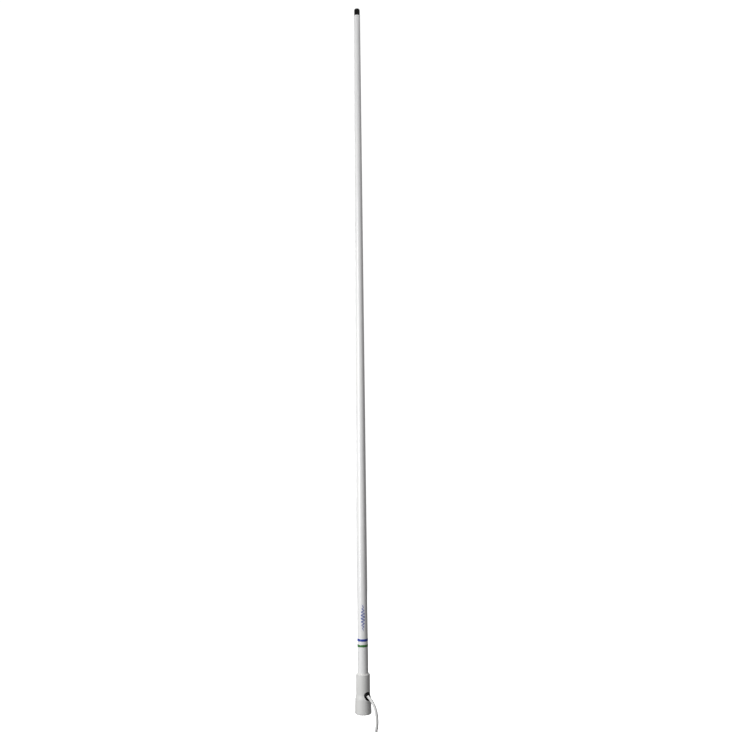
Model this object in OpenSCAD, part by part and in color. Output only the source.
// Omnidirectional marine whip antenna: a tapered fibreglass radome bonded into a moulded ferrule,
// a sleeve dipole inside it, and a coaxial lead that leaves the ferrule's side and ends in a plug.
// Origin: centre of the ferrule's threaded mouth. +Z up the whip. The front is -Y.

/* [Whip] */
// Height from the ferrule's mouth to the top of the tip cap
overall_h = 1500; // [1490:5:1560]
// Outside diameter of the fibreglass tube where it enters the ferrule
whip_base_d = 23.2; // [23:0.1:23.4]
// Outside diameter of the fibreglass tube at its top end
whip_tip_d = 12.75; // [12.5:0.05:14]
// Wall thickness of the fibreglass tube
whip_wall = 1.9; // [1.6:0.1:2]
// Height of the black cap that shows above the tube
cap_h = 14.6; // [12:0.2:16]
// Diameter of the black cap
cap_d = 12.1; // [11.6:0.1:12.4]

/* [Ferrule] */
// Height of the ferrule
ferrule_h = 87; // [84:1:89]
// Diameter of the ferrule's upper barrel
barrel_d = 29.8; // [29.6:0.1:30.4]
// Diameter of the ferrule at its foot
skirt_d = 35.4; // [35:0.1:36.4]
// Diameter of the wide part just under the flare
skirt_top_d = 33.9; // [33:0.1:34.8]
// Height where the flare starts
flare_low = 31; // [29:1:32]
// Height where the flare has become the upper barrel
flare_high = 44; // [43:1:47]
// Major diameter of the mounting thread, nominally one inch
thread_d = 25.4; // [25.4:0.1:25.6]
// Depth of the mounting thread
thread_depth = 28; // [24:1:29]

/* [Lead] */
// Outside diameter of the coaxial lead
cable_d = 6.15; // [6:0.05:6.2]
// Angle of the lead's exit, to the right of the front
exit_azimuth = 39; // [30:1:50]
// Diameter of the rubber grommet
grommet_d = 15.4; // [14.6:0.2:15.8]
// Mean radius of the coil that the spare lead is wound into
coil_r = 38.4; // [37.8:0.2:39]
// Radius of the bundle of turns in the coil
bundle_r = 16.2; // [15.6:0.2:16.4]

/* [Markings] */
// Height of the blue band's middle
blue_z = 159; // [150:1:165]
// Height of the green band's middle
green_z = 146.8; // [130:0.2:148]
// Width of the two coloured bands
band_w = 5.2; // [4:0.2:5.4]
// Height of the decal's lower edge
decal_z = 177; // [170:1:200]
// Length of the decal up the whip
decal_h = 60; // [40:1:70]

/* [Hidden] */
$fn = 96;

gap = 0.05;              // clearance between pieces that are pushed together
skin_gap = 0.02;         // under a film, a band or a bond line
nested = 1;              // how far a cutting shape runs past what it cuts
cable_r = cable_d / 2;

// Whip
cap_z = overall_h - cap_h;
whip_foot_z = 58;        // the tube's lower end stands on a ledge in the ferrule
whip_slope = (whip_base_d - whip_tip_d) / 2 / (cap_z - ferrule_h);
cap_dome_h = 5;
cap_stem_h = 16;
function whip_r(z) = whip_base_d / 2 - (z - ferrule_h) * whip_slope;
function bore_r(z) = whip_r(z) - whip_wall;

// Ferrule
barrel_r = barrel_d / 2;
skirt_r = skirt_d / 2;
skirt_top_r = skirt_top_d / 2;
foot_chamfer = 1.5;
shoulder_chamfer = 1.8;
shoulder_h = 2.6;
flare_steps = 10;
web_h = 4;               // floor between the thread and the cable chamber
web_hole_r = 5;
chamber_r = 9.5;
seat_r = whip_base_d / 2 + 0.4;
bond_bead_h = 1.1;
bond_bead_w = 0.9;

// Sleeve dipole
feed_z = 985;            // top of the sleeve, where the lead feeds the two halves
sleeve_h = 450;
sleeve_r = 4.75;
sleeve_wall = 0.5;
rod_r = 2;
rod_h = 455;
rod_z = feed_z + 15;
cup_h = 8;
cup_r = 0.8;
braid_r = 2.3;
braid_h = 13;
jacket_z = feed_z - braid_h;   // the lead's jacket is stripped off above this
dielectric_r = 1.95;
conductor_r = 0.74;
cap_plate_t = 1.5;
cap_spigot_h = 5;
bush_h = 10;
insulator_r = 4.5;
insulator_h = 20;
shrink_t = 0.5;
shrink_r = sleeve_r + gap + shrink_t;
shrink_low = 10;         // how far it reaches down over the sleeve
shrink_neck = 22;        // where it starts to narrow onto the rod, above the feed
shrink_taper = 6;
shrink_end = 36;
plug_low = 64;
plug_high = 74;
spacer_h = 24;
spacer_gap = 0.15;
spacers = [              // [lower face, radius of what it holds]
    [150, cable_r], [340, cable_r], [560, sleeve_r], [750, sleeve_r], [940, sleeve_r],
    [1200, rod_r], [1420, rod_r]
];

// Lead inside the ferrule: down the axis, round one bend and out through the grommet
exit_turn = exit_azimuth - 90;
exit_fall = 25;          // the lead leaves this many degrees below level
bend_r = 24.6;
bend_z = 63.26;
exit_stub = 1.35;
bend_angle = 90 - exit_fall;
bend_end = [bend_r * (1 - cos(bend_angle)), bend_z - bend_r * sin(bend_angle)];
grommet_proud = 0.4;
grommet_core_r = 9.3;
grommet_reach = 17;
grommet_inset = 9.7;
grommet_mouth_h = 8.5;
grommet_mouth_w = 1.8;
exit_heading = [cos(exit_fall), 0, -sin(exit_fall)];
bend_steps = 12;

// The lead's route in the upright plane of its exit: [out from the axis, sideways, up]
stub_end = [bend_end[0], 0, bend_end[1]] + exit_stub * exit_heading;
lead_sides = 10;
inner_route = concat(
    [[0, 0, jacket_z]],
    [for (i = [0 : bend_steps])
        let(a = bend_angle * i / bend_steps)
            [bend_r * (1 - cos(a)), 0, bend_z - bend_r * sin(a)]],
    [stub_end]
);
drop_route = [
    stub_end,
    [22, 0, 37.3], [28.5, 0, 32.8], [34.3, 0, 27.6], [39, 0, 21.5], [42.3, 0, 14.5], [44.5, 0, 7],
    [45.9, 0, -1], [46.4, 0, -9], [45.4, 0, -17.5], [43.4, 0, -26], [41.2, 0, -34.5], [39.3, 0, -43.5],
    [38.3, 0.2, -53], [38.1, 2.6, -63.2], [38.1, 8.2, -72.6], [38.1, 15.9, -80.4], [38.1, 24.6, -86.9]
];
coil_centre = [48, -3, -121.5];
tail_route = [
    [58.7, 22.6, -104.3], [61.2, 26.9, -112], [63.7, 28.9, -121], [64.6, 29.6, -131.3],
    [64.8, 30.3, -142], [64.8, 30.3, -151], [64.8, 30.3, -160], [64.8, 30.3, -168], [64.8, 30.3, -181]
];
tie_angles = [50, 230];  // round the coil from its top, the way the lead runs
tie_gap = 0.2;
tie_t = 1.1;
tie_w = 3.6;
tie_head = [6, 5.5, 4.6];

// Bands and decal
film_t = 0.1;
decal_angle = 62;
decal_azimuth = 1;

// Plug, measured along its axis from the cable's entry
plug_top = [64.8, 30.3, -168];
reducer_flange_r = 5.6;
reducer_flange_h = 4.5;
reducer_r = 4.7;
reducer_h = 18;
shell_r = 5.7;
shell_bore_r = 4.75;
shell_end = 33;
collar_r = 7.2;
collar_z = 17.5;
collar_t = 2;
nose_r = 5.95;
nose_bore_r = 4.95;
shell_web_r = 2.3;
shell_web_z = 20;
bead_r = 4.9;
bead_h = 7;
pin_r = 1.98;
pin_root_r = 2.4;        // the pin's thicker foot, held in the bead
pin_end = 40;
pin_bore_r = 0.9;
pin_bore_end = 37;
nut_r = 9.2;
nut_z = 13.5;
nut_h = 19;
nut_lip_t = 3.7;
nut_lip_r = 6;
nut_thread_r = 7.94;
nut_chamfer = 0.8;
tail_in_plug = 13;

module at_exit() rotate([0, 0, exit_turn]) children();
module at_plug() at_exit() translate(plug_top) rotate([180, 0, 0]) children();

// A ring about the whip whose two faces follow its taper, from off0 to off1 outside its surface
module whip_film(z, h, off0, off1, angle = 360)
    rotate_extrude(angle = angle)
        polygon([
            [whip_r(z) + off0, z], [whip_r(z) + off1, z],
            [whip_r(z + h) + off1, z + h], [whip_r(z + h) + off0, z + h]
        ]);

module tube(z, h, outer, inner)
    translate([0, 0, z]) difference() {
        cylinder(r = outer, h = h);
        translate([0, 0, -nested]) cylinder(r = inner, h = h + 2 * nested);
    }

// Everything along the axis of the lead's exit, from the end of its bend
module along_exit()
    at_exit() translate([bend_end[0], 0, bend_end[1]]) rotate([0, 90 + exit_fall, 0]) children();

// The bore of the grommet, with a mouth that widens inwards for the lead's bend
module lead_way() {
    translate([0, 0, -grommet_reach]) cylinder(r = cable_r + gap, h = 2 * grommet_reach);
    translate([0, 0, -grommet_mouth_h])
        cylinder(r1 = cable_r + grommet_mouth_w, r2 = cable_r + gap, h = grommet_mouth_h);
}

function unit(v) = v / norm(v);
function heading(p, i) = unit(p[min(i + 1, len(p) - 1)] - p[max(i - 1, 0)]);
// The end rings face along first and last, the others along the chord of their neighbours
function ring_frame(t) = let(n = unit(cross(t, [1, 1, 0]))) [n, cross(t, n)];

// A tube swept along a list of points
module swept(p, r, first, last) {
    k = lead_sides;
    points = [
        for (i = [0 : len(p) - 1])
            let(f = ring_frame(i == 0 ? first : i == len(p) - 1 ? last : heading(p, i)))
                for (j = [0 : k - 1]) p[i] + r * (cos(360 * j / k) * f[0] + sin(360 * j / k) * f[1])
    ];
    sides = [
        for (i = [0 : len(p) - 2], j = [0 : k - 1])
            [i * k + j, i * k + (j + 1) % k, (i + 1) * k + (j + 1) % k, (i + 1) * k + j]
    ];
    ends = [[for (j = [k - 1 : -1 : 0]) j], [for (j = [0 : k - 1]) (len(p) - 1) * k + j]];
    polyhedron(points = points, faces = concat(sides, ends));
}

// Outline of the ferrule's outside, grown by g, from foot to shoulder
function ferrule_side(g) = concat(
    [[skirt_r - foot_chamfer + g, 0], [skirt_r + g, foot_chamfer]],
    [for (i = [0 : flare_steps])
        let(s = i / flare_steps)
            [barrel_r + (skirt_top_r - barrel_r) * (1 + cos(180 * s)) / 2 + g,
             flare_low + (flare_high - flare_low) * s]],
    [[barrel_r + g, ferrule_h - shoulder_h], [barrel_r - shoulder_chamfer + g, ferrule_h]]
);

module ferrule()
    color([0.9, 0.9, 0.88]) difference() {
        rotate_extrude() polygon(concat(ferrule_side(0), [
            [seat_r, ferrule_h], [seat_r, whip_foot_z], [chamber_r, whip_foot_z],
            [chamber_r, thread_depth + web_h], [web_hole_r, thread_depth + web_h],
            [web_hole_r, thread_depth], [thread_d / 2, thread_depth], [thread_d / 2, 0]
        ]));
        along_exit() translate([0, 0, -grommet_inset]) cylinder(r = grommet_d / 2 + gap, h = grommet_reach);
    }

module ferrule_bond()
    color([0.85, 0.85, 0.8]) rotate_extrude() polygon([
        [whip_r(whip_foot_z) + skin_gap, whip_foot_z], [seat_r - skin_gap, whip_foot_z],
        [seat_r - skin_gap, ferrule_h], [seat_r + bond_bead_w, ferrule_h],
        [whip_r(ferrule_h + bond_bead_h) + skin_gap, ferrule_h + bond_bead_h]
    ]);

module cable_grommet()
    color([0.06, 0.06, 0.06]) difference() {
        intersection() {
            along_exit() translate([0, 0, -grommet_inset]) cylinder(r = grommet_d / 2, h = grommet_reach);
            rotate_extrude() polygon(concat([[0, 0]], ferrule_side(grommet_proud), [[0, ferrule_h]]));
        }
        cylinder(r = grommet_core_r, h = ferrule_h);
        along_exit() lead_way();
    }

module radome()
    color([0.95, 0.95, 0.95]) whip_film(whip_foot_z, cap_z - whip_foot_z, -whip_wall, 0);

module tip_cap()
    color([0.05, 0.05, 0.05]) {
        translate([0, 0, cap_z - cap_stem_h]) cylinder(r = bore_r(cap_z) - gap, h = cap_stem_h);
        translate([0, 0, cap_z]) cylinder(r = cap_d / 2, h = cap_h - cap_dome_h);
        rotate_extrude() polygon(concat(
            [[0, overall_h - cap_dome_h]],
            [for (i = [0 : flare_steps])
                let(a = 90 * i / flare_steps)
                    [cap_d / 2 * cos(a), overall_h - cap_dome_h * (1 - sin(a))]]
        ));
    }

module blue_band()
    color([0.2, 0.3, 0.65]) whip_film(blue_z - band_w / 2, band_w, skin_gap, skin_gap + film_t);

module green_band()
    color([0.3, 0.5, 0.25]) whip_film(green_z - band_w / 2, band_w, skin_gap, skin_gap + film_t);

module decal()
    color([0.45, 0.55, 0.8]) rotate([0, 0, decal_azimuth - 90 - decal_angle / 2])
        whip_film(decal_z, decal_h, skin_gap, skin_gap + film_t, decal_angle);

module base_plug()
    color([0.9, 0.88, 0.8]) difference() {
        rotate_extrude() polygon([
            [0, plug_low], [bore_r(plug_low) - gap, plug_low],
            [bore_r(plug_high) - gap, plug_high], [0, plug_high]
        ]);
        translate([0, 0, plug_low - nested]) cylinder(r = cable_r + gap, h = plug_high - plug_low + 2 * nested);
    }

module cable_inside()
    color("white") at_exit() swept(inner_route, cable_r, [0, 0, -1], exit_heading);

module coax_braid()
    color([0.75, 0.5, 0.4]) translate([0, 0, jacket_z])
        cylinder(r = braid_r, h = braid_h + cap_plate_t);

module coax_dielectric()
    color([0.95, 0.95, 0.9]) translate([0, 0, feed_z + cap_plate_t])
        cylinder(r = dielectric_r, h = rod_z - feed_z - cap_plate_t);

module coax_conductor()
    color([0.8, 0.5, 0.3]) translate([0, 0, rod_z]) cylinder(r = conductor_r, h = cup_h);

module sleeve_tube()
    color([0.8, 0.65, 0.3]) tube(feed_z - sleeve_h, sleeve_h, sleeve_r, sleeve_r - sleeve_wall);

module sleeve_cap()
    color([0.82, 0.68, 0.32]) {
        tube(feed_z, cap_plate_t, sleeve_r, braid_r + gap);
        tube(feed_z - cap_spigot_h, cap_spigot_h, sleeve_r - sleeve_wall - gap, braid_r + gap);
    }

module sleeve_bush()
    color([0.9, 0.9, 0.9])
        tube(feed_z - sleeve_h, bush_h, sleeve_r - sleeve_wall - gap, cable_r + gap);

module feed_insulator()
    color([0.92, 0.92, 0.88]) tube(feed_z + cap_plate_t, insulator_h, insulator_r, rod_r + gap);

module radiator_rod()
    color([0.8, 0.65, 0.3]) translate([0, 0, rod_z]) difference() {
        cylinder(r = rod_r, h = rod_h);
        translate([0, 0, -nested]) cylinder(r = cup_r, h = cup_h + nested);
    }

module feed_shrink()
    color([0.1, 0.1, 0.1]) translate([0, 0, feed_z]) rotate_extrude() polygon([
        [sleeve_r + gap, -shrink_low], [shrink_r, -shrink_low], [shrink_r, shrink_neck],
        [rod_r + shrink_t + gap, shrink_neck + shrink_taper], [rod_r + shrink_t + gap, shrink_end],
        [rod_r + gap, shrink_end], [rod_r + gap, shrink_neck + shrink_taper], [sleeve_r + gap, shrink_neck]
    ]);

module foam_spacer(i)
    color([0.8, 0.8, 0.85])
        let(z = spacers[i - 1][0], held = spacers[i - 1][1] + gap)
            rotate_extrude() polygon([
                [held, z], [bore_r(z) - spacer_gap, z],
                [bore_r(z + spacer_h) - spacer_gap, z + spacer_h], [held, z + spacer_h]
            ]);

module cable_drop()
    color("white") at_exit() swept(drop_route, cable_r, exit_heading, heading(drop_route, len(drop_route) - 1));

module cable_coil()
    color("white") at_exit() translate(coil_centre) rotate([0, 90, 0])
        rotate_extrude() translate([coil_r, 0]) circle(r = bundle_r);

module cable_tail()
    color("white") at_exit()
        swept(tail_route, cable_r, heading(tail_route, 0), [0, 0, -1]);

// A nylon tie round the bundle, with its head on the side away from the whip
module cable_tie(i)
    color([0.92, 0.92, 0.9]) at_exit() translate(coil_centre) rotate([-tie_angles[i - 1], 0, 0])
        translate([0, 0, coil_r]) {
            rotate([90, 0, 0]) translate([0, 0, -tie_w / 2])
                tube(0, tie_w, bundle_r + tie_gap + tie_t, bundle_r + tie_gap);
            translate([bundle_r + tie_gap + tie_t / 2, -tie_head[1] / 2, -tie_head[0] / 2])
                cube([tie_head[2], tie_head[1], tie_head[0]]);
        }

module plug_reducer()
    color([0.75, 0.75, 0.76]) at_plug() {
        tube(0, reducer_flange_h, reducer_flange_r, cable_r + gap);
        tube(reducer_flange_h, reducer_h - reducer_flange_h, reducer_r, cable_r + gap);
    }

module plug_body()
    color([0.78, 0.78, 0.8]) at_plug() rotate_extrude() polygon([
        [shell_bore_r, reducer_flange_h], [shell_r, reducer_flange_h], [shell_r, collar_z],
        [collar_r, collar_z], [collar_r, collar_z + collar_t], [nose_r, collar_z + collar_t],
        [nose_r, shell_end], [nose_bore_r, shell_end], [nose_bore_r, shell_web_z],
        [shell_web_r, shell_web_z], [shell_web_r, reducer_h], [shell_bore_r, reducer_h]
    ]);

module plug_insulator()
    color([0.85, 0.8, 0.7]) at_plug() tube(shell_web_z, bead_h, bead_r, pin_root_r + gap);

module plug_pin()
    color([0.8, 0.8, 0.82]) at_plug() difference() {
        rotate_extrude() polygon(concat(
            [[0, shell_web_z], [pin_root_r, shell_web_z], [pin_root_r, shell_web_z + bead_h],
             [pin_r, shell_web_z + bead_h]],
            [for (i = [0 : flare_steps])
                let(a = 90 * i / flare_steps) [pin_r * cos(a), pin_end - pin_r * (1 - sin(a))]]
        ));
        translate([0, 0, shell_web_z - nested]) cylinder(r = pin_bore_r, h = pin_bore_end - shell_web_z + nested);
    }

module plug_nut()
    color([0.8, 0.8, 0.82]) at_plug() rotate_extrude() polygon([
        [nut_lip_r, nut_z], [nut_r - nut_chamfer, nut_z], [nut_r, nut_z + nut_chamfer],
        [nut_r, nut_z + nut_h - nut_chamfer], [nut_r - nut_chamfer, nut_z + nut_h],
        [nut_thread_r, nut_z + nut_h], [nut_thread_r, nut_z + nut_lip_t], [nut_lip_r, nut_z + nut_lip_t]
    ]);

module plug_dielectric()
    color([0.95, 0.95, 0.9]) at_plug() tube(tail_in_plug, shell_web_z - tail_in_plug, dielectric_r, conductor_r + gap / 2);

module plug_conductor()
    color([0.8, 0.5, 0.3]) at_plug() translate([0, 0, tail_in_plug])
        cylinder(r = conductor_r, h = pin_bore_end - tail_in_plug - nested);

ferrule();
ferrule_bond();
cable_grommet();
radome();
tip_cap();
blue_band();
green_band();
decal();
base_plug();
cable_inside();
coax_braid();
coax_dielectric();
coax_conductor();
sleeve_tube();
sleeve_cap();
sleeve_bush();
feed_insulator();
radiator_rod();
feed_shrink();
foam_spacer(1);  // foam_spacer_1
foam_spacer(2);  // foam_spacer_2
foam_spacer(3);  // foam_spacer_3
foam_spacer(4);  // foam_spacer_4
foam_spacer(5);  // foam_spacer_5
foam_spacer(6);  // foam_spacer_6
foam_spacer(7);  // foam_spacer_7
cable_drop();
cable_coil();
cable_tail();
cable_tie(1);  // cable_tie_1
cable_tie(2);  // cable_tie_2
plug_reducer();
plug_body();
plug_insulator();
plug_pin();
plug_nut();
plug_dielectric();
plug_conductor();
